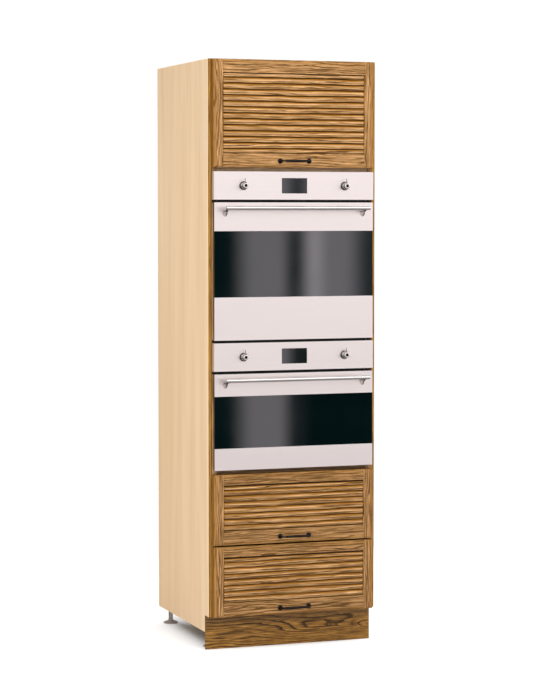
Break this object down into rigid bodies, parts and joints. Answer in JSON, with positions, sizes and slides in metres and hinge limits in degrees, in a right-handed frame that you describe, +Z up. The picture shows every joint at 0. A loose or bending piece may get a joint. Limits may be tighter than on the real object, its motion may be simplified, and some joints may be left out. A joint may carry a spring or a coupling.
{
  "type": "tall oven housing unit",
  "caption": "Tall kitchen housing on legs with built-in ovens behind drop-down doors, a louvred lift-up cupboard front above and louvred drawers below a plinth.",
  "frame": {"origin": "on the floor, under the middle of the whole unit", "axes": "+X to the right seen from the front, +Y to the back, +Z up"},
  "size_m": [0.626, 0.677, 2.08],
  "materials": {
    "birch_panel": "matt lacquered veneer",
    "carcass_board": "melamine-faced board",
    "oak_edging": "satin edging",
    "hardboard": "lacquered hardboard",
    "oak_plinth": "bold-grained satin",
    "oak": "brushed, satin lacquer",
    "oak_louvre": "brushed, satin lacquer",
    "drawer_board": "lacquered ply",
    "leg_steel": "satin",
    "black_bronze": "aged, semi-matt",
    "zinc_steel": "zinc plated",
    "strut_black": "gloss black",
    "polished_steel": "polished",
    "brushed_steel": "fine brushed",
    "chrome": "polished",
    "black_glass": "dark, glossy",
    "aluminium": "mill finish",
    "galvanised_sheet": "galvanised",
    "dark_enamel": "glossy enamel",
    "display_grey": "gloss",
    "element_steel": "heat-darkened",
    "black_rubber": "matt",
    "black_plastic": "matt"
  },
  "bodies": {
    "root": {"cover_panel_left": "birch_panel", "cover_panel_right": "birch_panel", "carcass_side_left": "carcass_board", "carcass_side_right": "carcass_board", "carcass_top": "carcass_board", "carcass_bottom": "carcass_board", "upper_fixed_shelf": "carcass_board", "oven_divider_shelf": "carcass_board", "oven_support_shelf": "carcass_board", "front_edge_strips": "oak_edging", "back_panels": "hardboard", "wall_fixing_rail": "carcass_board", "plinth_board": "oak_plinth", "adjustable_legs": "leg_steel", "flap_cabinet_brackets": "zinc_steel", "drawer_runner_rails": "zinc_steel", "upper_oven_control_panel": "brushed_steel", "lower_oven_control_panel": "brushed_steel", "oven_casings": "galvanised_sheet", "oven_front_frames": "galvanised_sheet", "oven_cavities": "dark_enamel", "oven_display_windows": "display_grey", "oven_heating_elements": "element_steel", "oven_fan_covers": "dark_enamel", "oven_fan_motors": "galvanised_sheet", "oven_racks": "polished_steel", "oven_door_seals": "black_rubber", "oven_cable_glands": "black_plastic"},
    "flap": {"flap_frame": "oak", "flap_louvre_panel": "oak_louvre", "flap_handle": "black_bronze", "flap_fittings": "zinc_steel"},
    "strut_cylinders": {"strut_cylinders": "strut_black"},
    "strut_rods": {"strut_rods": "polished_steel"},
    "upper_drawer": {"upper_drawer_frame": "oak", "upper_drawer_louvre_panel": "oak_louvre", "upper_drawer_handle": "black_bronze", "upper_drawer_box": "drawer_board", "upper_drawer_box_runners": "zinc_steel"},
    "upper_mid_runners": {"upper_drawer_mid_runners": "zinc_steel"},
    "lower_drawer": {"lower_drawer_frame": "oak", "lower_drawer_louvre_panel": "oak_louvre", "lower_drawer_handle": "black_bronze", "lower_drawer_box": "drawer_board", "lower_drawer_box_runners": "zinc_steel"},
    "lower_mid_runners": {"lower_drawer_mid_runners": "zinc_steel"},
    "upper_oven_door": {"upper_door_steel_bands": "brushed_steel", "upper_door_glass": "black_glass", "upper_door_inner_frame": "aluminium", "upper_door_handle": "polished_steel"},
    "lower_oven_door": {"lower_door_steel_bands": "brushed_steel", "lower_door_glass": "black_glass", "lower_door_inner_frame": "aluminium", "lower_door_handle": "polished_steel"},
    "upper_left_knob": {"upper_oven_left_knob": "chrome"},
    "upper_right_knob": {"upper_oven_right_knob": "chrome"},
    "lower_left_knob": {"lower_oven_left_knob": "chrome"},
    "lower_right_knob": {"lower_oven_right_knob": "chrome"},
    "upper_fan": {"upper_oven_fan": "zinc_steel"},
    "lower_fan": {"lower_oven_fan": "zinc_steel"}
  },
  "joints": [
    {"name": "flap_lift", "type": "hinge", "parent": "root", "child": "flap", "pos_m": [0, -0.2755, 2.075], "axis": [-1, 0, 0], "range_deg": [0, 90]},
    {"name": "strut_swing", "type": "hinge", "parent": "root", "child": "strut_cylinders", "pos_m": [0, -0.0055, 2.0325], "axis": [-1, 0, 0], "range_deg": [0, 3.7]},
    {"name": "strut_extend", "type": "slide", "parent": "strut_cylinders", "child": "strut_rods", "axis": [0, -0.9999, -0.0102], "range_m": [0, 0.0716]},
    {"name": "upper_drawer_slide", "type": "slide", "parent": "root", "child": "upper_drawer", "axis": [0, -1, 0], "range_m": [0, 0.45]},
    {"name": "upper_runner_slide", "type": "slide", "parent": "root", "child": "upper_mid_runners", "axis": [0, -1, 0], "range_m": [0, 0.226]},
    {"name": "lower_drawer_slide", "type": "slide", "parent": "root", "child": "lower_drawer", "axis": [0, -1, 0], "range_m": [0, 0.45]},
    {"name": "lower_runner_slide", "type": "slide", "parent": "root", "child": "lower_mid_runners", "axis": [0, -1, 0], "range_m": [0, 0.226]},
    {"name": "upper_door_hinge", "type": "hinge", "parent": "root", "child": "upper_oven_door", "pos_m": [0, -0.2775, 1.1095], "axis": [1, 0, 0], "range_deg": [0, 90], "stiffness_Nm_per_rad": 6.5, "springref_deg": -17.19},
    {"name": "lower_door_hinge", "type": "hinge", "parent": "root", "child": "lower_oven_door", "pos_m": [0, -0.2775, 0.6538], "axis": [1, 0, 0], "range_deg": [0, 90], "stiffness_Nm_per_rad": 3.2, "springref_deg": -17.19},
    {"name": "upper_function_turn", "type": "hinge", "parent": "root", "child": "upper_left_knob", "pos_m": [-0.19, -0.2865, 1.63955], "axis": [0, 1, 0], "continuous": true},
    {"name": "upper_temperature_turn", "type": "hinge", "parent": "root", "child": "upper_right_knob", "pos_m": [0.19, -0.2865, 1.63955], "axis": [0, 1, 0], "range_deg": [0, 270]},
    {"name": "lower_function_turn", "type": "hinge", "parent": "root", "child": "lower_left_knob", "pos_m": [-0.19, -0.2865, 1.03995], "axis": [0, 1, 0], "continuous": true},
    {"name": "lower_temperature_turn", "type": "hinge", "parent": "root", "child": "lower_right_knob", "pos_m": [0.19, -0.2865, 1.03995], "axis": [0, 1, 0], "range_deg": [0, 270]},
    {"name": "upper_fan_spin", "type": "hinge", "parent": "root", "child": "upper_fan", "pos_m": [0, 0.1725, 1.325], "axis": [0, 1, 0], "continuous": true},
    {"name": "lower_fan_spin", "type": "hinge", "parent": "root", "child": "lower_fan", "pos_m": [0, 0.1725, 0.8], "axis": [0, 1, 0], "continuous": true}
  ],
  "couplings": [
    {"joint": "strut_swing", "follows": "flap_lift", "ratio": 0.039838},
    {"joint": "strut_extend", "follows": "flap_lift", "m_per_rad": 0.045467},
    {"joint": "upper_runner_slide", "follows": "upper_drawer_slide", "ratio": 0.5},
    {"joint": "lower_runner_slide", "follows": "lower_drawer_slide", "ratio": 0.5}
  ]
}
